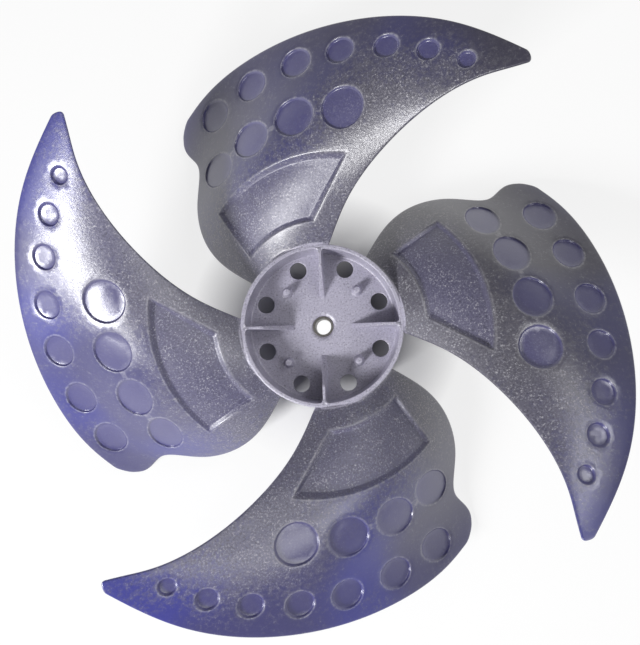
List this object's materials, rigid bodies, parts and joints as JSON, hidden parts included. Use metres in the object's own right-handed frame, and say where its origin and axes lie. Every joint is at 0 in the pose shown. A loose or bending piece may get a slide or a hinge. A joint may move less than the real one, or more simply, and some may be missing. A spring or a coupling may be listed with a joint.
{
  "type": "axial fan impeller",
  "caption": "Four-blade forward-swept axial fan impeller: one plastic moulding with pocketed blades, a ribbed open hub and a metal bore bush.",
  "frame": {"origin": "on the bore axis at the level of the hub disc's inlet-side face", "axes": "+Z along the bore axis towards the air inlet (the side with the pockets); +X and +Y along the hub's ribs"},
  "size_m": [0.5538, 0.5538, 0.2269],
  "materials": {
    "moulded_plastic": "satin",
    "bush_metal": "turned"
  },
  "bodies": {
    "root": {"impeller": "moulded_plastic", "shaft_bush": "bush_metal"}
  },
  "joints": []
}
